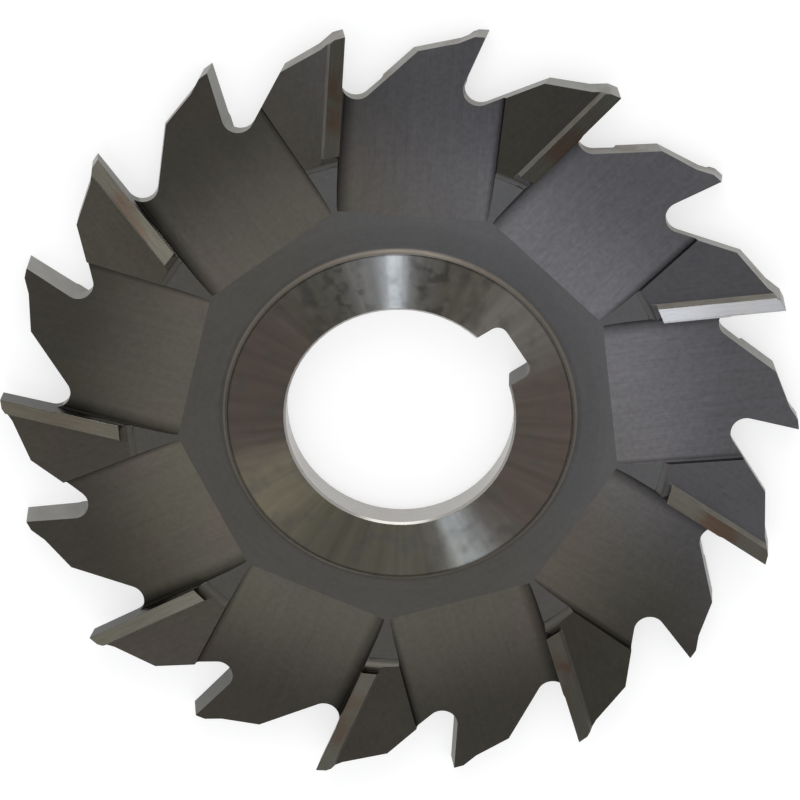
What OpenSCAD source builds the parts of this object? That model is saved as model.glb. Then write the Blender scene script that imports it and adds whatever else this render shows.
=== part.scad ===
// Side and face cutter with staggered teeth: one solid of high speed steel.
// Frame: arbor axis on +Z, lower side edges on z = 0, keyway toward +X, millimetres.

/* [Cutter] */
// Diameter over the tooth tips
outer_d = 88.9; // [86:0.1:92]
// Width over the side cutting edges
width = 5.56; // [5.2:0.02:6.4]
// Teeth cutting on each side, half of all the teeth
side_teeth = 9; // [8:1:10]
// Turn of the upper teeth from the keyway, degrees
tooth_turn = 24.5; // [0:0.5:40]

/* [Hub] */
// Diameter of the arbor bore
bore_d = 25.4; // [24:0.1:26.4]
// Chamfer at both ends of the bore
bore_chamfer = 0.25; // [0.1:0.05:0.4]
// Width of the keyway
keyway_w = 6.7; // [5:0.1:8]
// Distance from the axis to the keyway floor
keyway_floor = 15.5; // [14.6:0.1:16.5]
// Radius in the corners of the keyway floor
keyway_corner_r = 1.2; // [0.6:0.1:1.6]
// Diameter of the ground hub ring
hub_d = 38.6; // [36:0.1:40]
// Depth of the hub face below the side cutting edges
hub_depth = 0.68; // [0.4:0.02:0.8]

/* [Web] */
// Depth of the web face below the side cutting edges
web_depth = 1.27; // [1.2:0.02:1.4]
// Outer diameter of the turned web recess
web_d = 61.5; // [60:0.1:62]
// Slope of both walls of the web recess, degrees from the axis
web_draft = 35; // [25:1:45]
// Radius in both corners of the web recess
web_corner_r = 1; // [0.6:0.05:1.2]
// Diameter where the side lands begin
ledge_d = 62.7; // [62.4:0.1:64]
// Depth of the ledge inside the side lands
ledge_depth = 0.7; // [0.5:0.02:0.75]

/* [Teeth] */
// Lean of the tooth faces from the radius, degrees
rake = 11; // [8:0.5:13]
// Lean of the tooth faces from the axis, degrees
helix = 7; // [4:0.5:10]
// Diameter at the bottom of the gullets
root_d = 73.6; // [72:0.1:76]
// Radius at the bottom of the gullets
gullet_r = 1.75; // [1.4:0.05:2.1]
// Slope of the gullet's rising side, degrees
gullet_slope = 35; // [32:0.5:38]
// Round land left at the tips
tip_margin = 0.15; // [0.1:0.05:0.3]
// Width of the relieved land on the tips
tip_land = 1; // [0.7:0.05:1.3]
// Relief of the tip land, degrees
tip_relief = 10; // [7:0.5:13]
// Slope of the second tip relief, degrees
second_slope = 35; // [32:0.5:38]
// Length of the second tip relief
second_run = 1.9; // [1.5:0.1:2.3]
// Slope of the tooth back, degrees
back_slope = 24; // [22:0.5:26]

/* [Side teeth] */
// Distance from the axis to the inner edge of a side gash
gash_start = 23.5; // [23:0.1:24.5]
// Fall of the gash floor toward the rim, degrees
gash_fall = 2.8; // [2:0.1:3.4]
// Width of a side tooth where it leaves the web
wedge_root = 0.25; // [0.2:0.05:0.8]
// Widening of the gash toward the rim, degrees
gash_taper = 2.9; // [2:0.1:4]
// Step from the tooth face forward to the gash wall
gash_lead = 0.1; // [0.06:0.02:0.2]
// Radius between a tooth face and the gash floor
gash_r = 0.25; // [0.2:0.05:0.5]
// Radius between the gash floor and the next tooth's back
heel_r = 0.3; // [0.2:0.05:0.5]
// Draft of the gash wall at the next tooth's back, degrees
heel_draft = 15; // [8:1:22]
// Flat left along the side cutting edges
side_margin = 0.15; // [0.1:0.05:0.3]
// Width of the side lands
side_land = 1.55; // [1.3:0.05:1.8]
// Relief of the side lands, degrees
side_relief = 2; // [1:0.5:4]
// Depth of the step behind the side lands
step_depth = 0.8; // [0.76:0.02:0.9]
// Plan width of the sloped step wall
step_run = 0.35; // [0.2:0.05:0.5]
// Fall of the clearance face behind the step, degrees
clearance_fall = 4.4; // [3:0.2:5]

/* [Hidden] */
steel = [0.36, 0.35, 0.34];
outer_r = outer_d / 2;
pitch = 180 / side_teeth;
// chord from tip to tip, and the shares of it that the cuts behind a tip take up
tip_pitch = 2 * outer_r * sin(pitch / 2);
back_share = 0.66;
clearance_share = 0.68;
gash_width = 2 * gash_start * tan(pitch) - wedge_root;
// margin by which cutters stand clear of the blank, and length of those that pass through it
clear = 3;
through = 4 * width;
// how far a gash cutter runs inward, above the web and short of the hub ring
gash_runout = 1.5;
// where the arbor axis lies in the frame of a side cutting edge
axis_x = outer_r * sin(rake);
axis_y = -outer_r * cos(rake);
gullet_y = axis_y + sqrt(pow(root_d / 2 + gullet_r, 2) - pow(axis_x - gullet_r, 2));
// the tooth face seen in the frame of the falling gash floor
gash_yaw = atan(tan(helix) * sin(gash_fall));
gash_lean = asin(sin(helix) * cos(gash_fall));
gash_inset = web_depth * tan(helix) - gash_lead;

$fn = 48;
ring_fn = 96;
blank_fn = 180;

// Steps one cutter round all the teeth of one side
module each_tooth() {
    for (i = [0 : side_teeth - 1]) rotate([0, 0, tooth_turn - 2 * pitch * i]) children();
}

// Places what is drawn for the upper side on both sides, half a step apart
module both_sides() {
    translate([0, 0, width / 2]) each_tooth() children();
    rotate([0, 0, -pitch]) mirror([0, 0, 1]) translate([0, 0, width / 2]) each_tooth() children();
}

// Frame of a tooth: origin on the tip, Y outward, X ahead of the tooth
module tip_frame() {
    rotate([0, 0, -90]) translate([0, outer_r, 0]) children();
}

// Frame of a side cutting edge: the same, turned to have Y along the edge
module edge_frame() {
    tip_frame() rotate([0, 0, -rake]) children();
}

// Draws a section across Y and runs it along Y
module along_y(from, to) {
    translate([0, to, 0]) rotate([90, 0, 0]) linear_extrude(to - from) children();
}

// A point at a slope and distance from another, measured back from the tip
function back_from(p, slope, run) = [p[0] - run * cos(slope), p[1] - run * sin(slope)];

// Half of a channel: its floor, one wall that leans over it, and the round between them
module channel_half(lean, corner_r) {
    centre = [corner_r * (1 + sin(lean)) / cos(lean), corner_r];
    wall_foot = centre - corner_r * [cos(lean), -sin(lean)];
    polygon([
        wall_foot,
        [width * tan(lean), width],
        [outer_r, width],
        [outer_r, 0],
        [centre[0], 0]
    ]);
    translate(centre) circle(corner_r);
}

// Gullet ahead of a tooth: flat tooth face, round bottom, flat rising side
module gullet_section() {
    rise = gullet_slope + rake;
    bottom = [gullet_r + gullet_r * sin(rise), gullet_y - gullet_r * cos(rise)];
    polygon([
        [0, gullet_y],
        bottom,
        bottom + tip_pitch * [cos(rise), sin(rise)],
        [0, 2 * clear]
    ]);
    translate([gullet_r, gullet_y]) circle(gullet_r);
}

module gullet() {
    edge_frame() rotate([0, helix, 0]) linear_extrude(through, center = true) gullet_section();
}

// Tip land, second relief and tooth back, ground along the tooth's own lean
module back_section() {
    start = [-tip_margin, 0];
    land_end = back_from(start, tip_relief, tip_land);
    heel = back_from(land_end, second_slope, second_run);
    back_end = back_from(heel, back_slope, back_share * tip_pitch / cos(back_slope));
    polygon([
        back_from(start, tip_relief, -clear),
        land_end,
        heel,
        back_end,
        [back_end[0], clear],
        [clear, clear]
    ]);
}

module tooth_back() {
    tip_frame() rotate([0, helix, 0]) linear_extrude(through, center = true) back_section();
}

// Gash ahead of a side tooth, from the web out through the rim
module gash() {
    edge_frame() intersection() {
        translate([-gash_inset, axis_y + gash_start, -web_depth])
            rotate([-gash_fall, 0, 0]) rotate([0, 0, gash_yaw])
                along_y(-gash_runout, outer_r) channel_half(gash_lean, gash_r);
        translate([gash_width - gash_inset, axis_y + gash_start, -web_depth])
            rotate([-gash_fall, 0, 0]) rotate([0, 0, -gash_taper])
                along_y(-clear, outer_r) mirror([1, 0]) channel_half(-heel_draft, heel_r);
    }
}

// Relief of the side land, the step behind it and the clearance face
module side_clearance() {
    land_back = side_land - side_margin;
    step_back = side_land + step_run;
    reach = clearance_share * tip_pitch;
    edge_frame() along_y(axis_y + gash_start, clear) polygon([
        [-side_margin + clear, clear * tan(side_relief)],
        [-side_land, -land_back * tan(side_relief)],
        [-step_back, -step_depth],
        [-reach, -step_depth - (reach - step_back) * tan(clearance_fall)],
        [-reach, clear],
        [-side_margin + clear, clear]
    ]);
}

// Turned faces of one side: hub step, web recess and the ledge inside the lands
module turned_side() {
    hub_foot = hub_d / 2 + (web_depth - hub_depth) * tan(web_draft);
    rim_foot = web_d / 2 - (web_depth - ledge_depth) * tan(web_draft);
    translate([0, 0, width / 2]) rotate_extrude($fn = ring_fn) {
        translate([0, -hub_depth]) square([hub_foot, clear]);
        intersection() {
            translate([hub_foot, -web_depth]) channel_half(-web_draft, web_corner_r);
            translate([rim_foot, -web_depth]) mirror([1, 0]) channel_half(-web_draft, web_corner_r);
        }
        translate([rim_foot, -ledge_depth]) square([ledge_d / 2 - rim_foot, clear]);
    }
}

// Bore with a small chamfer at each hub face
module bore() {
    face = width / 2 - hub_depth;
    cylinder(h = through, d = bore_d, center = true, $fn = ring_fn);
    for (side = [0, 1]) mirror([0, 0, side]) rotate_extrude($fn = ring_fn) polygon([
        [0, face - bore_chamfer],
        [bore_d / 2, face - bore_chamfer],
        [bore_d / 2 + bore_chamfer + clear, face + clear],
        [0, face + clear]
    ]);
}

// Keyway with rounded floor corners
module keyway() {
    corner = [keyway_floor - keyway_corner_r, keyway_w / 2 - keyway_corner_r];
    linear_extrude(through, center = true) {
        translate([0, -keyway_w / 2]) square([corner[0], keyway_w]);
        translate([0, -corner[1]]) square([keyway_floor, 2 * corner[1]]);
        for (side = [-1, 1]) translate([corner[0], side * corner[1]]) circle(keyway_corner_r);
    }
}

module cutter() {
    color(steel) translate([0, 0, width / 2]) difference() {
        cylinder(h = width, d = outer_d, center = true, $fn = blank_fn);
        bore();
        keyway();
        turned_side();
        mirror([0, 0, 1]) turned_side();
        both_sides() gullet();
        both_sides() tooth_back();
        both_sides() gash();
        both_sides() side_clearance();
    }
}

cutter();
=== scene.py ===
# %% [markdown]
# A side and face cutter: a thin disc of high speed steel with eighteen teeth, every second one
# cutting on the upper side and the others on the lower. The imported model already has its exact
# form, so this lesson is about finishes: dark tempered faces, ground lands, a turned hub ring.
# The model comes in as a fixed frame.

# %% Load the imported model
import math

import bmesh
import bpy
from mathutils import Matrix, Vector


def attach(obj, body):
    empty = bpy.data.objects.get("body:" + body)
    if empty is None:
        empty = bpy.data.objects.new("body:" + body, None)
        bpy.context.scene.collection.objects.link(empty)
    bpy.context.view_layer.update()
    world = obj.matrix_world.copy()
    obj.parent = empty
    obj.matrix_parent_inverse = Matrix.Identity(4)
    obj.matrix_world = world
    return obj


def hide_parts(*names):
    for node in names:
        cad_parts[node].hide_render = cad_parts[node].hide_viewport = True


MM = 0.001
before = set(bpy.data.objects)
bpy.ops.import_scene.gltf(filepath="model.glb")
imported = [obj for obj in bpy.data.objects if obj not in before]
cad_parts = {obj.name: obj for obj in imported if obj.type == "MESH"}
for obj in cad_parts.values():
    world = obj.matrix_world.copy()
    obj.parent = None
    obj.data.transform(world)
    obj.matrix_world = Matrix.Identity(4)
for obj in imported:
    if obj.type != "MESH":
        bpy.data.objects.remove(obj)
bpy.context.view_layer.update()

# %% [markdown]
# The photograph looks down on the flat-lying disc with a long lens, about 21 degrees off the
# arbor axis, and the keyway points to the upper right. A camera could be placed by eye, but the
# eighteen tips and the bore's two edges fix it well, so the values here come from a pinhole fit.
# Directions are named as the picture has them, because the lights below are set by them too.

# %% Directions as the picture has them
CUTTER_WIDTH = 5.56
KEYWAY_TURN = math.radians(28.3)
photo_right = Vector((math.cos(KEYWAY_TURN), -math.sin(KEYWAY_TURN), 0))
photo_up = Vector((math.sin(KEYWAY_TURN), math.cos(KEYWAY_TURN), 0))
disc_up = Vector((0, 0, 1))
disc_top = disc_up * CUTTER_WIDTH * MM


def photo_direction(right, up, out):
    """A direction given as the picture sees it: to the right, up, and out along the arbor axis."""
    return (photo_right * right + photo_up * up + disc_up * out).normalized()


print("the picture's right and up:", [round(v, 2) for v in (*photo_right, *photo_up)])

# %% Camera at the photograph's angle
VIEW_TILT = math.radians(21.5)
VIEW_SIDE = math.radians(3.59)
VIEW_ROLL = math.radians(-5.08)
VIEW_DISTANCE = 466.5 * MM
SENSOR = 36
PICTURE_SIDE = 800
PICTURE_MIDDLE = 0.5
FOCAL_LENGTH_PX = 4201.7
ARBOR_AXIS_PX = (399.5, 420.0)

sight = photo_direction(
    math.sin(VIEW_SIDE) * math.cos(VIEW_TILT),
    math.sin(VIEW_TILT),
    math.cos(VIEW_SIDE) * math.cos(VIEW_TILT),
)
level = photo_up.cross(sight).normalized()
camera_right = Matrix.Rotation(VIEW_ROLL, 3, sight) @ level
camera_up = sight.cross(camera_right)

camera = bpy.data.objects.new("camera", bpy.data.cameras.new("camera"))
bpy.context.scene.collection.objects.link(camera)
camera.matrix_world = (
    Matrix.Translation(disc_top + sight * VIEW_DISTANCE)
    @ Matrix((camera_right, camera_up, sight)).transposed().to_4x4()
)
camera.data.sensor_width = SENSOR
camera.data.lens = SENSOR * FOCAL_LENGTH_PX / PICTURE_SIDE
camera.data.shift_x = PICTURE_MIDDLE - ARBOR_AXIS_PX[0] / PICTURE_SIDE
camera.data.shift_y = ARBOR_AXIS_PX[1] / PICTURE_SIDE - PICTURE_MIDDLE
bpy.context.scene.camera = camera
print("camera at, mm:", [round(v / MM) for v in camera.location], "lens", round(camera.data.lens))

# %% [markdown]
# The steel is one piece, but it wears several finishes, each made by its own grinding or turning
# pass. They could be told apart in one material by position alone, but the border of a ground
# land is a crisp edge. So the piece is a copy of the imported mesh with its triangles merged, and
# each face gets its finish from where it lies and which way it points.

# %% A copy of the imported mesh, merged
MERGE_DISTANCE = 0.002 * MM
cutter_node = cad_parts["cutter"]
shape = bmesh.new()
shape.from_mesh(cutter_node.data)
packed_normal = shape.loops.layers.float_vector.new("packed_normal")
corners = iter(cutter_node.data.corner_normals)
for face in shape.faces:
    for loop in face.loops:
        loop[packed_normal] = next(corners).vector
bmesh.ops.remove_doubles(shape, verts=shape.verts, dist=MERGE_DISTANCE)
open_edges = sum(not edge.is_manifold for edge in shape.edges)
print("merged:", len(shape.verts), "corners,", len(shape.faces), "faces,", open_edges, "open edges")

# %% [markdown]
# A face on a tooth is easiest to place in that tooth's own frame: how far ahead of the side
# cutting edge it lies, and how far along it. The same two numbers are kept as a UV map in
# millimetres, across and along the grinding lines, so that the lines follow each tooth.

# %% Places against the side cutting edges
SIDE_TEETH = 9
TOOTH_STEP = 2 * math.pi / SIDE_TEETH
TOOTH_TURN = math.radians(24.5)
RAKE = math.radians(11)
TIP_R = 44.45
EDGE_LENGTH = 32


def against_edges(x, y, upper):
    """For each tooth of one side near a point: (tooth, how far ahead of its edge, how far along)."""
    first = TOOTH_TURN if upper else TOOTH_TURN - TOOTH_STEP / 2
    places = []
    for tooth in range(SIDE_TEETH):
        turn = first - TOOTH_STEP * tooth
        out = x * math.cos(turn) + y * math.sin(turn) - TIP_R
        ahead = x * math.sin(turn) - y * math.cos(turn)
        across = ahead * math.cos(RAKE) - out * math.sin(RAKE)
        along = ahead * math.sin(RAKE) + out * math.cos(RAKE)
        if along > -EDGE_LENGTH:
            places.append((tooth, across, along))
    return places


def tooth_with_face(centre):
    """The tooth whose face is nearest to a point, and whether it cuts on the upper side."""
    places = []
    for upper in (True, False):
        for tooth, across, along in against_edges(centre.x, centre.y, upper):
            places.append((abs(across), tooth, upper))
    return min(places)[1:]


print("side cutting edges on each side:", SIDE_TEETH)

# %% [markdown]
# The sorting goes from the axis outward. Flat faces are told by their depth under the side
# edges and by their tilt: the gash floors fall by 2.8 degrees and the clearance faces by 4.4.
# Upright faces are told by which way they look, since a tooth face looks the way the cutter turns.

# %% Finish of a face, with lengths in millimetres and tilts in degrees
HUB_DEPTH = 0.68
WEB_DEPTH = 1.27
LEVEL_TOLERANCE = 0.02
LAND_DEPTH = 0.12
BORE_REACH = 13.1
KEYWAY_HALF = 3.5
KEYWAY_REACH = 15.7
HUB_ROUND_REACH = 20.4
RECESS_REACH = 30.8
GULLET_REACH = 36.7
STEP_BACK = 2.1
STEP_FRONT = 1.4
STEP_DEPTH = 0.85
LEDGE_REACH = 32
FLAT = math.cos(math.radians(6))
WEB_TILT = 2
CLEARANCE_TILT = 3.6
RECESS_TILT = 60
WALL_TILT = 81
LOOKS_AHEAD = 0.85
TURNED_SLACK = 0.1
FACE_SLACK = 0.3


def looking_ahead(centre, normal):
    """1 for a face that looks the way the cutter turns, 0 for one that doesn't look round at all."""
    return (normal.x * centre.y - normal.y * centre.x) / math.hypot(centre.x, centre.y)


def finish_of(centre, normal):
    """The finish of a face, the tooth it belongs to if any, and whether it is on the upper side."""
    reach = math.hypot(centre.x, centre.y)
    flat = abs(normal.z) > FLAT
    upper = normal.z > 0 if flat else centre.z > CUTTER_WIDTH / 2
    depth = CUTTER_WIDTH - centre.z if upper else centre.z
    if flat and abs(depth - HUB_DEPTH) < LEVEL_TOLERANCE and reach < HUB_ROUND_REACH:
        return "hub_ring", None, upper
    if 0 < centre.x < KEYWAY_REACH and abs(centre.y) < KEYWAY_HALF:
        return "broached_keyway", None, upper
    if reach < BORE_REACH:
        return "honed_bore", None, upper
    tilt = math.degrees(math.acos(min(abs(normal.z), 1)))
    if reach < HUB_ROUND_REACH or (abs(depth - WEB_DEPTH) < LEVEL_TOLERANCE and tilt < WEB_TILT):
        return "turned_web", None, upper
    places = against_edges(centre.x, centre.y, upper)
    behind = max((p for p in places if p[1] < FACE_SLACK), key=lambda p: p[1])
    ahead = min((p for p in places if p[1] > -FACE_SLACK), key=lambda p: p[1])
    if flat and depth < LAND_DEPTH:
        return "side_land", behind[0], upper
    if flat and tilt > CLEARANCE_TILT:
        return "clearance_face", behind[0], upper
    if flat:
        return "gashed_floor", ahead[0], upper
    if LEDGE_REACH < reach and -STEP_BACK < behind[1] < -STEP_FRONT and depth < STEP_DEPTH:
        return "step_wall", behind[0], upper
    facing = looking_ahead(centre, normal)
    if facing > LOOKS_AHEAD and (reach > GULLET_REACH or tilt > WALL_TILT):
        return ("tooth_face", *tooth_with_face(centre))
    if reach > GULLET_REACH:
        return "ground_rim", behind[0], upper
    if reach < RECESS_REACH and tilt < RECESS_TILT and abs(facing) < TURNED_SLACK:
        return "turned_web", None, upper
    return "gashed_floor", ahead[0], upper


print("flat means within", round(math.degrees(math.acos(FLAT))), "degrees of level")

# %% [markdown]
# No two teeth show quite the same shade, partly because each was tempered and ground a little
# differently and partly from the light each catches. The shades paint that light and shade into
# the colour: the brightest land's shade is a painted highlight, and the tooth faces and step walls
# are painted lighter or darker by which way they face. Random shades would do for any such cutter.
# Here each tooth's shade is set one by one, until the render is about as bright as the photograph
# where the two were measured on that tooth. They go clockwise from the tooth at the picture's
# upper right. Lands that look browner also get some grinding heat.

# %% Shades of the single teeth
SHADES = {
    "side_land": (0.25, 2.5, 0.65, 0.5, 0.65, 1.05, 0.8, 1.05, 0.4),
    "gashed_floor": (0.93, 0.95, 0.83, 0.85, 0.9, 0.95, 0.85, 0.85, 0.76),
    "clearance_face": (0.58, 0.7, 0.8, 0.6, 0.7, 1.0, 0.85, 0.95, 0.85),
    "step_wall": (0.85, 1.0, 0.8, 0.35, 0.35, 0.5, 0.7, 0.7, 0.75),
}
# The tooth faces' shades paint each face lighter or darker by which way it faces: painted light.
UPPER_FACES = (1, 1, 1, 1, 0.8, 0.5, 0.65, 1, 1)
LOWER_FACES = (1, 1, 1, 1, 0.8, 1.35, 1.5, 1.3, 1)
LAND_HEAT = (0.8, 0.1, 0.9, 0.9, 0.6, 0, 0.15, 0.6, 0.9)


def shade_of(finish, tooth, upper):
    """The shade of a face from its tooth's entry, where its finish has one: tone and painted light.
    """
    if finish == "tooth_face":
        return UPPER_FACES[tooth] if upper else LOWER_FACES[tooth]
    return SHADES[finish][tooth] if finish in SHADES else 1


print("finishes with a shade for each tooth:", len(SHADES) + 1)

# %% Sort the faces and lay their lines
FINISHES = (
    "hub_ring",
    "turned_web",
    "gashed_floor",
    "clearance_face",
    "side_land",
    "step_wall",
    "tooth_face",
    "ground_rim",
    "honed_bore",
    "broached_keyway",
)
HALF_STEP = 0.5


def line_place(finish, tooth, upper, spot, turn):
    """Where a corner of a face lies across and along its grinding or turning lines."""
    if tooth is not None:
        places = {p[0]: p[1:] for p in against_edges(spot.x, spot.y, upper)}
        return places.get(tooth, (0, 0))
    reach = math.hypot(spot.x, spot.y)
    bend = math.remainder(math.atan2(spot.y, spot.x) - turn, 2 * math.pi) + turn
    if finish == "broached_keyway":
        return bend * reach, spot.z
    return (spot.z if finish == "honed_bore" else reach), bend * reach


counts = dict.fromkeys(FINISHES, 0)
lines = shape.loops.layers.uv.new("grinding_lines")
tone = shape.faces.layers.float.new("tooth_tone")
tooth_shade_and_light = shape.faces.layers.float.new("tooth_shade_and_light")
grind_heat = shape.faces.layers.float.new("grind_heat")
for face in shape.faces:
    centre = face.calc_center_median() / MM
    finish, tooth, upper = finish_of(centre, face.normal)
    counts[finish] += 1
    face.material_index = FINISHES.index(finish)
    face[tone] = 0 if tooth is None else (tooth + HALF_STEP * upper) / SIDE_TEETH
    face[tooth_shade_and_light] = shade_of(finish, tooth, upper)
    face[grind_heat] = LAND_HEAT[tooth] if finish == "side_land" else 0
    turn = math.atan2(centre.y, centre.x)
    for loop in face.loops:
        loop[lines].uv = line_place(finish, tooth, upper, loop.vert.co / MM, turn)
print("faces by finish:", counts)

# %% [markdown]
# Blender shades by corner normals. A cutter has hard edges and small rounds side by side, and
# some of its edges fold by less than three degrees, so no smoothing angle fits them all. The
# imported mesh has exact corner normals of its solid, and the copy takes them over.

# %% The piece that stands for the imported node
steel_mesh = bpy.data.meshes.new("cutter_steel")
shape.to_mesh(steel_mesh)
shape.free()
carried = [tuple(corner.vector) for corner in steel_mesh.attributes["packed_normal"].data]
steel_mesh.normals_split_custom_set(carried)
steel_mesh.attributes.remove(steel_mesh.attributes["packed_normal"])
cutter = bpy.data.objects.new("cutter_steel", steel_mesh)
bpy.context.scene.collection.objects.link(cutter)
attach(cutter, "root")
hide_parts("cutter")
print("piece", cutter.name, "stands for the packed node")

# %% [markdown]
# Materials are node graphs, and a node graph is easier to read as arithmetic. Value wraps one
# socket, so that sums and products of values add Math nodes. Finish holds one material and has
# one method that adds any other node by its type, its settings and what goes into its sockets.


# %% Shader arithmetic
class Value:
    """A socket of a material that can be added, multiplied and so on."""

    def __init__(self, finish, socket):
        self.finish = finish
        self.socket = socket

    def math(self, operation, first, second):
        return self.finish.node("Math", {"operation": operation}, {0: first, 1: second})

    def __add__(self, other):
        return self.math("ADD", self, other)

    def __radd__(self, other):
        return self.math("ADD", other, self)

    def __sub__(self, other):
        return self.math("SUBTRACT", self, other)

    def __rsub__(self, other):
        return self.math("SUBTRACT", other, self)

    def __mul__(self, other):
        return self.math("MULTIPLY", self, other)

    def __rmul__(self, other):
        return self.math("MULTIPLY", other, self)

    def __truediv__(self, other):
        return self.math("DIVIDE", self, other)

    def __rtruediv__(self, other):
        return self.math("DIVIDE", other, self)


class Finish:
    """One material under construction."""

    def __init__(self, name):
        self.material = bpy.data.materials.new(name)
        self.material.use_nodes = True
        self.tree = self.material.node_tree
        self.tree.nodes.clear()

    def node(self, kind, settings, inputs, output=0):
        """Adds a node, applies its settings, feeds its sockets and returns one output."""
        node = self.tree.nodes.new("ShaderNode" + kind)
        for name, setting in settings.items():
            setattr(node, name, setting)
        by_identifier = {socket.identifier: socket for socket in node.inputs}
        for name, value in inputs.items():
            socket = by_identifier[name] if name in by_identifier else node.inputs[name]
            if isinstance(value, Value):
                self.tree.links.new(value.socket, socket)
            else:
                socket.default_value = value
        return Value(self, node.outputs[output] if node.outputs else None)

    def vector(self, operation, first, second, output=0):
        """One step of vector arithmetic."""
        return self.node("VectorMath", {"operation": operation}, {0: first, 1: second}, output)

    def mix(self, share, first, second):
        """A blend of two colours."""
        inputs = {"Factor_Float": share, "A_Color": first, "B_Color": second}
        return self.node("Mix", {"data_type": "RGBA"}, inputs, 2)

    def scaled(self, colour, factor):
        """A colour or direction made larger or smaller by a value."""
        return self.node("VectorMath", {"operation": "SCALE"}, {0: colour, "Scale": factor})

    def between(self, value, low, high):
        """How far a value is from low to high, held between 0 and 1 and eased at both ends."""
        settings = {"interpolation_type": "SMOOTHSTEP"}
        return self.node("MapRange", settings, {0: value, 1: low, 2: high})


def uneven(recipe, **parts):
    """A level with some unevenness: each part adds as much as the recipe says."""
    value = recipe["level"]
    for name, part in parts.items():
        value = value + part * recipe[name]
    return value


print("values take + - * / with numbers on either side")

# %% [markdown]
# Every finish on this cutter starts with lines left by an abrasive wheel or a turning tool. They
# could be drawn as a striped wave, but real lines are uneven, so a noise is stretched along
# them. It reads the UV map, shifted for each tooth so that no two teeth carry the same lines.

# %% Grinding lines, turning lines and stains
LINE_SHIFT = 40


def tooth_value(finish, layer):
    """A number that is the same all over one tooth or gash."""
    named = {"attribute_name": layer, "attribute_type": "GEOMETRY"}
    return finish.node("Attribute", named, {}, "Fac")


def ground_lines(finish, across, along, detail=3):
    """Uneven lines, so many to the millimetre across and along the way the wheel ran."""
    place = finish.node("UVMap", {"uv_map": "grinding_lines"}, {})
    stretched = finish.vector("MULTIPLY", place, (across, along, 0))
    shift = finish.node("CombineXYZ", {}, {2: tooth_value(finish, "tooth_tone") * LINE_SHIFT})
    spot = finish.vector("ADD", stretched, shift)
    return finish.node("TexNoise", {}, {"Vector": spot, "Scale": 1, "Detail": detail})


def turned_lines(finish, across, round_about, detail=3):
    """The distance from the axis, and uneven rings: so many to the millimetre and the radian."""
    place = finish.node("TexCoord", {}, {}, "Object")
    flattened = finish.vector("MULTIPLY", place, (1, 1, 0))
    reach = finish.node("VectorMath", {"operation": "LENGTH"}, {0: flattened}, "Value") / MM
    bearing = finish.node("VectorMath", {"operation": "NORMALIZE"}, {0: flattened})
    outward = finish.node("CombineXYZ", {}, {2: reach * across})
    spot = finish.vector("ADD", finish.scaled(bearing, round_about), outward)
    return reach, finish.node("TexNoise", {}, {"Vector": spot, "Scale": 1, "Detail": detail})


def stains(finish, per_metre, detail=4):
    """Soft blotches in the steel's own space."""
    place = finish.node("TexCoord", {}, {}, "Object")
    return finish.node("TexNoise", {}, {"Vector": place, "Scale": per_metre, "Detail": detail})


def steel_grain(finish):
    """The fine mottle of the steel itself."""
    return stains(finish, per_metre=1700, detail=2)


print("lines shift by", LINE_SHIFT, "from tooth to tooth")

# %% [markdown]
# Dirt, wear and shade also go by place: along a tooth, toward one side of the disc, or on an
# edge. Edges could be bevelled in the mesh, but the breaks here are under a tenth of a millimetre,
# so the shading alone is rounded, and the same rounding tells where an edge is painted paler:
# partly wear, partly a painted highlight along the edge.

# %% Places, worn and glinting edges and the closing of a finish
EDGE_ROUND = 0.09 * MM
ROUND_SAMPLES = 6
EDGE_WEAR_GLINT_FROM = 0.01
EDGE_WEAR_GLINT_TO = 0.16
ROUND_THE_AXIS = 0.25


def tooth_place(finish, axis):
    """Millimetres ahead of the side edge for axis X, or outward along it from the tip for Y."""
    place = finish.node("UVMap", {"uv_map": "grinding_lines"}, {})
    return finish.node("SeparateXYZ", {}, {0: place}, axis)


def toward(finish, direction):
    """How far a point of the disc lies toward a direction, in metres."""
    place = finish.node("TexCoord", {}, {}, "Object")
    return finish.vector("DOT_PRODUCT", place, tuple(direction), "Value")


def rounded_normal(finish):
    """The direction of the surface with its sharp edges rounded off."""
    return finish.node("Bevel", {"samples": ROUND_SAMPLES}, {"Radius": EDGE_ROUND})


# Edges painted paler: partly wear, partly a painted highlight along them.
def worn_and_glinting_edge(finish):
    """1 along sharp edges and 0 on open faces."""
    plain = finish.node("NewGeometry", {}, {}, "Normal")
    same = finish.vector("DOT_PRODUCT", rounded_normal(finish), plain, "Value")
    return finish.between(1 - same, EDGE_WEAR_GLINT_FROM, EDGE_WEAR_GLINT_TO)


def steel(finish, colour, roughness, height, depth, brushed, turned=0.0, metal=1.0, glance=1.0):
    """Closes a finish: metal of a colour, with a relief and a grain that spreads its highlights."""
    relief = finish.node(
        "Bump",
        {},
        {"Height": height, "Distance": depth, "Strength": 1.0, "Normal": rounded_normal(finish)},
    )
    shader = finish.node(
        "BsdfPrincipled",
        {},
        {
            "Base Color": colour,
            "Metallic": metal,
            "Roughness": roughness,
            "Normal": relief,
            "Anisotropic": brushed,
            "Anisotropic Rotation": turned,
            "Specular Tint": (glance, glance, glance, 1),
        },
    )
    finish.node("OutputMaterial", {}, {"Surface": shader})
    print("made", finish.material.name, "with", len(finish.tree.nodes), "nodes")


print("edges are broken by", EDGE_ROUND / MM, "mm")

# %% [markdown]
# Gash floors and the faces behind the lands are dark from the heat treatment, browner toward the
# left, with olive and reddish patches. Toward the picture's upper right they are painted paler and
# cooler grey, a painted light from that side. One colour under a texture would look like paint, so
# the patches are blended from two noises.

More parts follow.
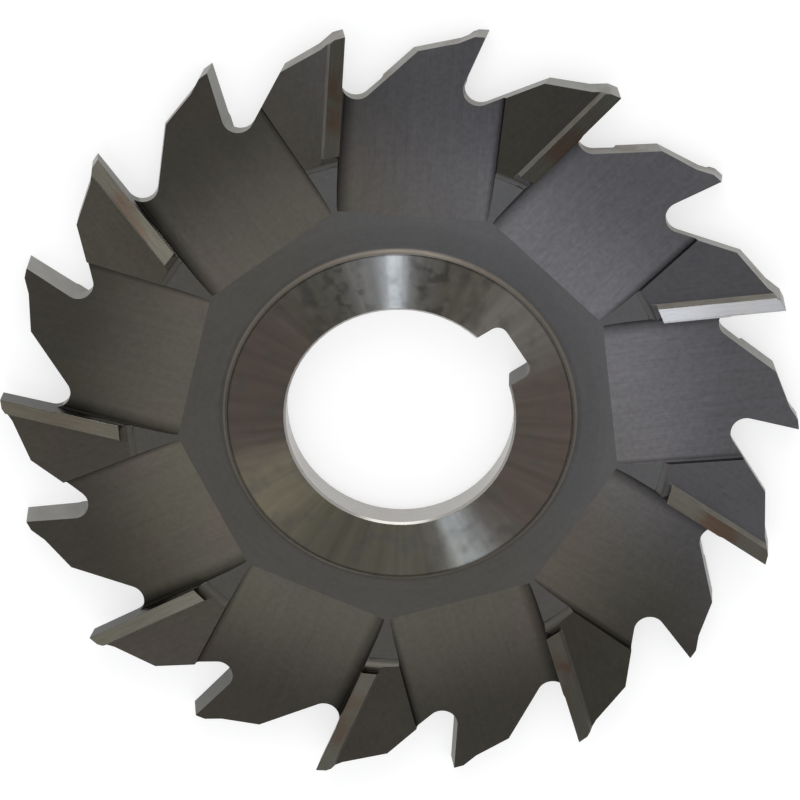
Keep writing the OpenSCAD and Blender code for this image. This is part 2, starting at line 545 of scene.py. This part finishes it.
# %% Tempered steel with a painted side light
WARM_DARK = (0.093, 0.085, 0.071, 1)
WARM_OLIVE = (0.094, 0.09, 0.067, 1)
WARM_RED = (0.1, 0.081, 0.07, 1)
COOL_DARK = (0.136, 0.13, 0.138, 1)
WORN_AND_GLINTING_STEEL = (0.22, 0.215, 0.2, 1)
OLIVE_BAND = (0.48, 0.64)
OLIVE_SHARE = 0.7
RED_BAND = (0.52, 0.66)
RED_SHARE = 0.45
COOL_FROM = 6 * MM
COOL_TO = 26 * MM
DARK_WEAR_AND_GLINT = 0.3
GRIND_RELIEF = 0.003 * MM
cool_side = photo_direction(0.87, 0.49, 0)


def coolness(finish):
    """0 on the warm side of the disc and 1 on the cool side, where a paler, cooler light is painted.
    """
    return finish.between(toward(finish, cool_side), COOL_FROM, COOL_TO)


def tempered_and_side_lit(finish, cool):
    """Dark heat-treated steel with olive and reddish patches, and a painted light to one side."""
    olive = finish.between(stains(finish, per_metre=75), *OLIVE_BAND)
    red = finish.between(stains(finish, per_metre=115), *RED_BAND)
    warm = finish.mix(olive * OLIVE_SHARE, WARM_DARK, WARM_OLIVE)
    warm = finish.mix(red * RED_SHARE, warm, WARM_RED)
    return finish.mix(cool, warm, COOL_DARK)


print("steel turns cool from", COOL_FROM / MM, "to", COOL_TO / MM, "mm off the axis")

# %% [markdown]
# Each side gash was ground by its own pass of a wheel, from the web out to the rim, so its lines
# run that way. The floor is lighter toward the web, and painted dark in the corners below the tooth
# face and along the next tooth's back, a painted shade. The corners are found by the tooth's
# own frame.

# %% Corners and marks on the gash floors
GASH_INNER = -20
GASH_OUTER = -5
FACE_CORNER = (1.9, 0.2)
CREVICE = (0.5, 0.15)
HEEL_START = 16.8
HEEL_TAPER = math.tan(math.radians(2.9))
HEEL_CORNER = (-0.7, 0)
floor_finish = Finish("gashed_floor")
fine = ground_lines(floor_finish, across=4, along=0.22)
swaths = ground_lines(floor_finish, across=1.3, along=0.08)
clouds = stains(floor_finish, per_metre=160)
grain = steel_grain(floor_finish)
ahead = tooth_place(floor_finish, "X")
along = tooth_place(floor_finish, "Y")
outward = floor_finish.between(along, GASH_INNER, GASH_OUTER)
# Masks of the corners where shade is painted.
face_corner = floor_finish.between(ahead, *FACE_CORNER)
crevice = floor_finish.between(ahead, *CREVICE)
heel_line = HEEL_START + (along - GASH_INNER) * HEEL_TAPER
heel_corner = floor_finish.between(ahead - heel_line, *HEEL_CORNER)
print("the corner below a tooth face is", FACE_CORNER[0], "mm wide")

# %% Dark gash floors
MEAN_NOISE = 0.5
FLOOR_TONE = {"level": 0.77, "swaths": 0.16, "clouds": 0.32}
FLOOR_LINES = {"level": 0.24, "cool": 0.16}
FLOOR_MOTTLE = {"level": 0.28, "cool": 0.15}
FLOOR_FALL = {"level": 0.72, "cool": -0.22}
FALL_MIDDLE = 0.45
FACE_CORNER_DARK = 0.54
CREVICE_DARK = 0.5
HEEL_CORNER_DARK = 0.48
FLOOR_ROUGHNESS = {"level": 0.36, "clouds": 0.12, "lines": 0.1}
# cool marks the side painted paler and cooler grey, a painted light.
cool = coolness(floor_finish)
floor_tone = uneven(FLOOR_TONE, swaths=swaths, clouds=clouds)
floor_tone = floor_tone + (fine - MEAN_NOISE) * uneven(FLOOR_LINES, cool=cool)
floor_tone = floor_tone + (grain - MEAN_NOISE) * uneven(FLOOR_MOTTLE, cool=cool)
floor_tone = floor_tone * (1 + uneven(FLOOR_FALL, cool=cool) * (FALL_MIDDLE - outward))
floor_tone = floor_tone * tooth_value(floor_finish, "tooth_shade_and_light")
# Painted shade in the corners below the tooth face and along the next tooth's back.
floor_tone = floor_tone * (1 - face_corner * FACE_CORNER_DARK) * (1 - crevice * CREVICE_DARK)
floor_tone = floor_tone * (1 - heel_corner * HEEL_CORNER_DARK)
floor_colour = floor_finish.scaled(tempered_and_side_lit(floor_finish, cool), floor_tone)
# Edges painted paler: partly wear, partly a painted highlight.
wear_and_glint = worn_and_glinting_edge(floor_finish) * (1 - face_corner) * (1 - heel_corner)
floor_colour = floor_finish.mix(wear_and_glint * DARK_WEAR_AND_GLINT, floor_colour, WORN_AND_GLINTING_STEEL)
roughness = uneven(FLOOR_ROUGHNESS, clouds=clouds, lines=fine)
steel(floor_finish, floor_colour, roughness, fine, GRIND_RELIEF, brushed=0.5)

# %% [markdown]
# The clearance faces behind the lands have the same dark colour, with its painted side light,
# and lines along the tooth.
# The darkest of them are brown even on the cool side, so the shade decides how cool they get.

# %% Clearance faces
CLEARANCE_TONE = {"level": 0.38, "lines": 0.26, "clouds": 0.3, "grain": 0.26}
CLEARANCE_ROUGHNESS = {"level": 0.38, "clouds": 0.12, "lines": 0.1}
COOL_SHADES = (0.6, 0.69)
behind_finish = Finish("clearance_face")
fine = ground_lines(behind_finish, across=4, along=0.2)
clouds = stains(behind_finish, per_metre=200)
grain = steel_grain(behind_finish)
shade = tooth_value(behind_finish, "tooth_shade_and_light")
# cool marks the side painted paler and cooler grey, a painted light.
cool = coolness(behind_finish) * behind_finish.between(shade, *COOL_SHADES)
behind_tone = uneven(CLEARANCE_TONE, lines=fine, clouds=clouds, grain=grain) * shade
behind_colour = behind_finish.scaled(tempered_and_side_lit(behind_finish, cool), behind_tone)
# Edges painted paler: partly wear, partly a painted highlight.
wear_and_glint = worn_and_glinting_edge(behind_finish)
behind_colour = behind_finish.mix(wear_and_glint * DARK_WEAR_AND_GLINT, behind_colour, WORN_AND_GLINTING_STEEL)
roughness = uneven(CLEARANCE_ROUGHNESS, clouds=clouds, lines=fine)
steel(behind_finish, behind_colour, roughness, fine, GRIND_RELIEF, brushed=0.4)

# %% [markdown]
# The web was turned on a lathe before the teeth were cut, so its lines run round the axis. It is
# as dark as the gashes but more even. Toward the cool side it is painted cooler, and paler near
# its outer border, a painted light from that side. The slope up to the hub ring and the outer
# slope up to the ledge are painted pale, a painted highlight, which the distance from the axis
# tells.

# %% Turned web
WEB_DARK = (0.082, 0.077, 0.069, 1)
WEB_COOL = (0.09, 0.089, 0.09, 1)
PAINTED_SLOPE_HIGHLIGHT = (0.185, 0.165, 0.14, 1)
WEB_COOL_FROM = -5 * MM
WEB_COOL_TO = 20 * MM
HUB_SLOPE = (19.85, 19.55)
LEDGE_SLOPE = (30.1, 30.4)
LEDGE_SHARE = 0.25
WEB_BORDER = (21, 24)
WEB_BORDER_PALE = 0.15
WEB_WEAR_AND_GLINT = 0.4
WEB_TONE = {"level": 0.63, "rings": 0.18, "clouds": 0.3, "grain": 0.2}
WEB_ROUGHNESS = {"level": 0.4, "clouds": 0.14}
WEB_RELIEF = 0.002 * MM
web_finish = Finish("turned_web")
reach, rings = turned_lines(web_finish, across=5, round_about=2)
clouds = stains(web_finish, per_metre=200)
grain = steel_grain(web_finish)
# Painted light: cooler toward the cool side, and paler there near the outer border.
cool = web_finish.between(toward(web_finish, cool_side), WEB_COOL_FROM, WEB_COOL_TO)
border = cool * web_finish.between(reach, *WEB_BORDER)
web_tone = uneven(WEB_TONE, rings=rings, clouds=clouds, grain=grain)
web_tone = web_tone * (1 + border * WEB_BORDER_PALE)
web_colour = web_finish.scaled(web_finish.mix(cool, WEB_DARK, WEB_COOL), web_tone)
# Painted highlight on the slope up to the hub ring, and below on the slope up to the ledge.
web_colour = web_finish.mix(web_finish.between(reach, *HUB_SLOPE), web_colour, PAINTED_SLOPE_HIGHLIGHT)
ledge = web_finish.between(reach, *LEDGE_SLOPE) * LEDGE_SHARE
web_colour = web_finish.mix(ledge, web_colour, PAINTED_SLOPE_HIGHLIGHT)
# Edges painted paler: partly wear, partly a painted highlight.
web_colour = web_finish.mix(worn_and_glinting_edge(web_finish) * WEB_WEAR_AND_GLINT, web_colour, WORN_AND_GLINTING_STEEL)
roughness = uneven(WEB_ROUGHNESS, clouds=clouds)
steel(web_finish, web_colour, roughness, rings, WEB_RELIEF, brushed=0.2, turned=ROUND_THE_AXIS)

# %% [markdown]
# The hub ring is faced on the lathe last and left bright. Its fine rings throw the light into
# narrow fans, as on a saucepan lid. Principled's Anisotropic does that, since its grain goes by
# the object's Z axis. The feed marks lean outward, so each lamp shows on one half of the ring
# only. Handling and heat leave brown and olive stains and a smudge, and fine pits show beside
# the upper fan.

# %% Stains and marks on the hub ring
STAIN_BAND = (0.8, 1.15)
BROWN_CLOUDS = 0.5
OLIVE_CLOUDS = 0.6
SHOULDER_UP = (0.7, 0.82)
SHOULDER_SIDE = (0.06, 0.16)
SMUDGE = {"level": 0.55, "specks": 0.9}
PIT_BAND = (0.46, 0.68)
PITTED_UP = (0.7, 0.95)
PITTED_SIDE = (0.004, 0.05)
OUTER_LINE = (19.0, 19.2)
hub_finish = Finish("hub_ring")
reach, rings = turned_lines(hub_finish, across=9, round_about=3)
sweeps = turned_lines(hub_finish, across=0.06, round_about=16)[1]
clouds = stains(hub_finish, per_metre=130)
specks = stains(hub_finish, per_metre=420)


def round_toward(direction):
    """1 on the side of the ring that lies in a direction, and -1 on the other side."""
    return toward(hub_finish, direction) / (reach * MM)


sideways = round_toward(photo_right)
upward = round_toward(photo_up)
brownward = round_toward(photo_direction(0.95, -0.31, 0))
oliveward = round_toward(photo_direction(-0.5, -0.87, 0))
brown = hub_finish.between(brownward * brownward + clouds * BROWN_CLOUDS, *STAIN_BAND)
olive = hub_finish.between(oliveward + clouds * OLIVE_CLOUDS, *STAIN_BAND)
shoulder = hub_finish.between(upward, *SHOULDER_UP)
shoulder = shoulder * hub_finish.between(sideways * sideways, *SHOULDER_SIDE)
smudge = shoulder * uneven(SMUDGE, specks=specks)
pits = hub_finish.between(stains(hub_finish, per_metre=650, detail=2), *PIT_BAND)
pits = pits * hub_finish.between(sideways * sideways, *PITTED_SIDE)
pits = pits * hub_finish.between(upward, *PITTED_UP)
# A painted shade along the step at the ring's outer edge.
outer_line = hub_finish.between(reach, *OUTER_LINE)
print("a dark line runs round the hub ring at", OUTER_LINE[1], "mm from the axis")

# %% Bright hub ring
HUB_BRIGHT = (0.115, 0.108, 0.098, 1)
HUB_BROWN = (0.094, 0.073, 0.062, 1)
HUB_OLIVE = (0.092, 0.086, 0.064, 1)
HUB_GREY = (0.078, 0.074, 0.068, 1)
STAIN_SHARE = 0.9
SMUDGE_SHARE = 0.6
SPECK_BAND = (0.5, 0.66)
SPECK_SHARE = 0.7
HUB_TONE = {"level": 0.66, "sweeps": 0.62, "rings": 0.1}
SMUDGE_DARK = 0.15
OUTER_LINE_DARK = 0.55
BROWN_SIDE_PALE = 0.07
PIT_DARK = 0.4
HUB_WEAR_AND_GLINT = 0.5
HUB_ROUGHNESS = {"level": 0.15, "specks": 0.06}
RING_RELIEF = 0.0012
FEED_LEAN = math.tan(math.radians(7))
hub_colour = hub_finish.mix(brown * STAIN_SHARE, HUB_BRIGHT, HUB_BROWN)
hub_colour = hub_finish.mix(olive * STAIN_SHARE, hub_colour, HUB_OLIVE)
hub_colour = hub_finish.mix(smudge * SMUDGE_SHARE, hub_colour, HUB_OLIVE)
speckled = hub_finish.between(specks, *SPECK_BAND) * SPECK_SHARE
hub_colour = hub_finish.mix(speckled, hub_colour, HUB_GREY)
hub_tone = uneven(HUB_TONE, sweeps=sweeps, rings=rings)
# The outer line is a painted shade at the ring's edge.
hub_tone = hub_tone * (1 - smudge * SMUDGE_DARK) * (1 - outer_line * OUTER_LINE_DARK)
hub_tone = hub_tone * (1 + brownward * BROWN_SIDE_PALE) * (1 - pits * PIT_DARK)
hub_colour = hub_finish.scaled(hub_colour, hub_tone)
# Edges painted paler: partly wear, partly a painted highlight.
hub_colour = hub_finish.mix(worn_and_glinting_edge(hub_finish) * HUB_WEAR_AND_GLINT, hub_colour, WORN_AND_GLINTING_STEEL)
feed_marks = rings * RING_RELIEF - reach * FEED_LEAN
roughness = uneven(HUB_ROUGHNESS, specks=specks)
steel(hub_finish, hub_colour, roughness, feed_marks, MM, brushed=1.0, turned=ROUND_THE_AXIS)

# %% [markdown]
# The side lands were ground after the heat treatment. They are narrow and smooth, and some kept
# a brown breath of grinding heat in their middle. The lines run along the land, so a land flashes
# only when the light comes from across it. The brightest land is painted pale grey, a painted
# highlight on top of the lamp that lights it.

# %% Side lands
LAND_STEEL = (0.132, 0.124, 0.1, 1)
LAND_GLINT_GREY = (0.13, 0.13, 0.132, 1)
GRIND_HEAT = (0.125, 0.082, 0.058, 1)
GLINT_SHADES = (1.4, 2.4)
HEAT_OUTER = (-2, -5)
HEAT_INNER = (-12, -9.5)
HEAT_BAND = (0.38, 0.56)
LAND_INWARD = (-6, -12)
LAND_END = {"level": 0.98, "inward": 0.22}
LAND_TONE = {"level": 0.75, "lines": 0.5}
LAND_ROUGHNESS = {"level": 0.18, "lines": 0.08}
LAND_RELIEF = 0.0006 * MM
land_finish = Finish("side_land")
fine = ground_lines(land_finish, across=6, along=0.3)
clouds = stains(land_finish, per_metre=220)
along = tooth_place(land_finish, "Y")
shade = tooth_value(land_finish, "tooth_shade_and_light")
land_glint = land_finish.between(shade, *GLINT_SHADES)
middle = land_finish.between(along, *HEAT_OUTER) * land_finish.between(along, *HEAT_INNER)
heat = land_finish.between(clouds, *HEAT_BAND) * middle * tooth_value(land_finish, "grind_heat")
# Painted highlight: the brightest land is mixed toward a pale neutral grey.
land_colour = land_finish.mix(land_glint, LAND_STEEL, LAND_GLINT_GREY)
land_colour = land_finish.mix(heat, land_colour, GRIND_HEAT)
inward = land_finish.between(along, *LAND_INWARD)
land_tone = uneven(LAND_TONE, lines=fine) * shade * uneven(LAND_END, inward=inward)
land_colour = land_finish.scaled(land_colour, land_tone)
roughness = uneven(LAND_ROUGHNESS, lines=fine)
steel(land_finish, land_colour, roughness, fine, LAND_RELIEF, brushed=0.5)

# %% [markdown]
# Behind each land the wheel left a step. Its narrow wall was not finished, so it scatters light
# like a file's teeth and shows as a pale line. A low Metallic gives that scatter. Each tooth's
# shade paints the wall lighter or darker by which way it faces, a painted light and shade.

# %% Step walls
STEP_GREY = (0.11, 0.104, 0.093, 1)
STEP_PALE = (0.24, 0.226, 0.186, 1)
STEP_ROUGHNESS = {"level": 0.6, "lines": 0.1}
step_finish = Finish("step_wall")
fine = ground_lines(step_finish, across=5, along=0.6)
step_colour = step_finish.mix(fine, STEP_GREY, STEP_PALE)
# Painted light and shade: each tooth's shade makes its step wall lighter or darker by its facing.
step_colour = step_finish.scaled(step_colour, tooth_value(step_finish, "tooth_shade_and_light"))
roughness = uneven(STEP_ROUGHNESS, lines=fine)
steel(step_finish, step_colour, roughness, fine, GRIND_RELIEF, brushed=0.0, metal=0.2)

# %% [markdown]
# Gullets and the backs of the teeth were ground by the rim of a wheel. They stand upright, so they
# mirror the pale floor and look the brightest. A few kept some grinding heat.

# %% Ground rim
RIM_STEEL = (0.24, 0.237, 0.22, 1)
RIM_HEAT_BAND = (0.5, 0.7)
RIM_HEAT_SHARE = 0.5
RIM_TONE = {"level": 0.75, "lines": 0.45}
RIM_ROUGHNESS = {"level": 0.32, "lines": 0.14}
rim_finish = Finish("ground_rim")
fine = ground_lines(rim_finish, across=6, along=0.4)
clouds = stains(rim_finish, per_metre=240)
heat = rim_finish.between(clouds, *RIM_HEAT_BAND) * RIM_HEAT_SHARE
rim_colour = rim_finish.mix(heat, RIM_STEEL, GRIND_HEAT)
rim_colour = rim_finish.scaled(rim_colour, uneven(RIM_TONE, lines=fine))
roughness = uneven(RIM_ROUGHNESS, lines=fine)
steel(rim_finish, rim_colour, roughness, fine, GRIND_RELIEF, brushed=0.3)

# %% [markdown]
# A tooth face runs from the tip through the gullet and on as one wall of the side gash. Bare steel
# would flash at such a low angle, but the photograph shows these faces darker, perhaps from a
# film of oil or scale, so Specular Tint takes the flash away. Each tooth's shade paints its face
# lighter or darker by which way it faces, and the part in the gash is painted paler: painted light.

# %% Tooth faces
FACE_STEEL = (0.2, 0.197, 0.184)
FACE_TONE = {"level": 0.75, "lines": 0.5}
GASH_WALL = (-9, -11.5)
GASH_WALL_PALE = 4
face_finish = Finish("tooth_face")
fine = ground_lines(face_finish, across=6, along=0.4)
in_gash = face_finish.between(tooth_place(face_finish, "Y"), *GASH_WALL)
face_tone = uneven(FACE_TONE, lines=fine) * tooth_value(face_finish, "tooth_shade_and_light")
# Painted light: the part of the face in the gash is painted paler.
face_tone = face_tone * (1 + in_gash * GASH_WALL_PALE)
face_colour = face_finish.scaled(FACE_STEEL, face_tone)
roughness = uneven(RIM_ROUGHNESS, lines=fine)
steel(face_finish, face_colour, roughness, fine, GRIND_RELIEF, brushed=0.3, glance=0.7)

# %% [markdown]
# The bore is honed to fit the arbor, so it is the smoothest face. Its lines run round it, and the
# UV map has the height across them.

# %% Honed bore
BORE_STEEL = (0.45, 0.44, 0.42, 1)
BORE_HEAT_SHARE = 0.3
BORE_TONE = {"level": 0.8, "lines": 0.4}
BORE_ROUGHNESS = {"level": 0.22, "lines": 0.12}
bore_finish = Finish("honed_bore")
hone = ground_lines(bore_finish, across=6, along=0.1)
clouds = stains(bore_finish, per_metre=200)
bore_colour = bore_finish.mix(clouds * BORE_HEAT_SHARE, BORE_STEEL, GRIND_HEAT)
bore_colour = bore_finish.scaled(bore_colour, uneven(BORE_TONE, lines=hone))
roughness = uneven(BORE_ROUGHNESS, lines=hone)
steel(bore_finish, bore_colour, roughness, hone, GRIND_RELIEF, brushed=0.4, turned=ROUND_THE_AXIS)

# %% [markdown]
# The keyway was broached, a row of ever taller teeth pulled through it. Its walls carry the marks
# along the axis and are painted darker than the bore, a painted shade in the slot.

# %% Broached keyway
KEYWAY_DARK = (0.1, 0.096, 0.088, 1)
KEYWAY_STEEL = (0.18, 0.174, 0.162, 1)
KEYWAY_ROUGHNESS = {"level": 0.4, "lines": 0.1}
KEYWAY_RELIEF = 0.004 * MM
keyway_finish = Finish("broached_keyway")
marks = ground_lines(keyway_finish, across=5, along=0.2)
# Painted shade: the keyway's walls are darker than the bore.
keyway_colour = keyway_finish.mix(marks, KEYWAY_DARK, KEYWAY_STEEL)
roughness = uneven(KEYWAY_ROUGHNESS, lines=marks)
steel(keyway_finish, keyway_colour, roughness, marks, KEYWAY_RELIEF, brushed=0.0)

# %% [markdown]
# A face keeps only the number of its finish, so the materials go onto the mesh in the order of
# the list that the faces were sorted by.

# %% Finishes in the order of the list
for finish_name in FINISHES:
    steel_mesh.materials.append(bpy.data.materials[finish_name])
print("slots:", [slot.name for slot in steel_mesh.materials])

# %% [markdown]
# A pale floor under soft lamps. The photograph's background is pure white, so rays from the
# camera and reflections see a little extra light on the floor, while the light that falls on the
# steel stays at a plain level and the floor keeps the cutter's shadow.

# %% Floor
FLOOR_HALF = 3
FLOOR_WHITE = (0.42, 0.42, 0.42, 1)
FLOOR_LIFT = (0.65, 0.65, 0.65, 1)
NO_LIGHT = (0, 0, 0, 1)
floor_mesh = bpy.data.meshes.new("floor")
sheet = bmesh.new()
bmesh.ops.create_grid(sheet, x_segments=1, y_segments=1, size=FLOOR_HALF)
sheet.to_mesh(floor_mesh)
sheet.free()
floor = bpy.data.objects.new("floor", floor_mesh)
bpy.context.scene.collection.objects.link(floor)
paper = Finish("white_floor")
ray = paper.node("LightPath", {}, {}, "Is Camera Ray")
glossy = paper.node("LightPath", {}, {}, "Is Glossy Ray")
through = paper.node("LightPath", {}, {}, "Is Transmission Ray")
seen = paper.node("Math", {"operation": "ADD", "use_clamp": True}, {0: ray + glossy, 1: through})
paper_shader = paper.node(
    "BsdfPrincipled",
    {},
    {
        "Base Color": FLOOR_WHITE,
        "Roughness": 0.9,
        "Specular IOR Level": 0.0,
        "Emission Color": paper.mix(seen, NO_LIGHT, FLOOR_LIFT),
        "Emission Strength": 1.0,
    },
)
paper.node("OutputMaterial", {}, {"Surface": paper_shader})
floor_mesh.materials.append(paper.material)
print("floor is", 2 * FLOOR_HALF, "m across")

# %% [markdown]
# The white sky gives most of the light. On top of it, a strip and a panel high over the disc make
# the upper fan on the hub ring, a low strip makes the lower one, and a warm panel at the left
# softens it. A small square lamp lights up the one bright land at the right, which also carries a
# painted highlight, and a large box beyond the top of the picture fills in the tooth faces. They
# are area lamps, because a lamp's size sets how wide its fan or highlight gets.

# %% Lamps, each with its direction, its width and height in metres, its power and its colour
LAMP_DISTANCE = 1.0
COOL_LAMP = (0.72, 0.84, 1)
WARM_LAMP = (1, 0.92, 0.8)
PLAIN_LAMP = (1, 1, 1)
lamp_set = {
    "high_strip": ((-0.045, -0.1, 0.994), (0.03, 0.12), 0.26, COOL_LAMP),
    "high_panel": ((-0.08, -0.1, 0.99), (0.08, 0.12), 0.07, COOL_LAMP),
    "low_strip": ((0.029, -0.592, 0.806), (0.042, 0.15), 0.18, COOL_LAMP),
    "left_panel": ((-0.28, -0.47, 0.836), (0.15, 0.15), 0.12, WARM_LAMP),
    "right_strip": ((0.05, -0.268, 0.96), (0.09, 0.09), 0.055, PLAIN_LAMP),
    "upper_box": ((0.1, 0.9, 0.5), (0.7, 0.7), 3.0, PLAIN_LAMP),
}
for name, (direction, (wide, tall), power, colour) in lamp_set.items():
    lamp = bpy.data.objects.new(name, bpy.data.lights.new(name, "AREA"))
    bpy.context.scene.collection.objects.link(lamp)
    heading = photo_direction(*direction)
    lamp_right = photo_up.cross(heading).normalized()
    turned = Matrix((lamp_right, heading.cross(lamp_right), heading)).transposed().to_4x4()
    lamp.matrix_world = Matrix.Translation(disc_top + heading * LAMP_DISTANCE) @ turned
    lamp.data.shape = "RECTANGLE"
    lamp.data.size = wide
    lamp.data.size_y = tall
    lamp.data.energy = power
    lamp.data.color = colour
    print("lamp", name, "at, mm:", [round(v / MM) for v in lamp.location])

# %% Sky
SKY_LEVEL = 0.8
SKY_WHITE = (1, 1, 1, 1)
sky = bpy.data.worlds.new("sky")
bpy.context.scene.world = sky
sky.use_nodes = True
sky.node_tree.nodes["Background"].inputs["Strength"].default_value = SKY_LEVEL
sky.node_tree.nodes["Background"].inputs["Color"].default_value = SKY_WHITE
bpy.context.scene.view_settings.view_transform = "Standard"
print("sky level", SKY_LEVEL)
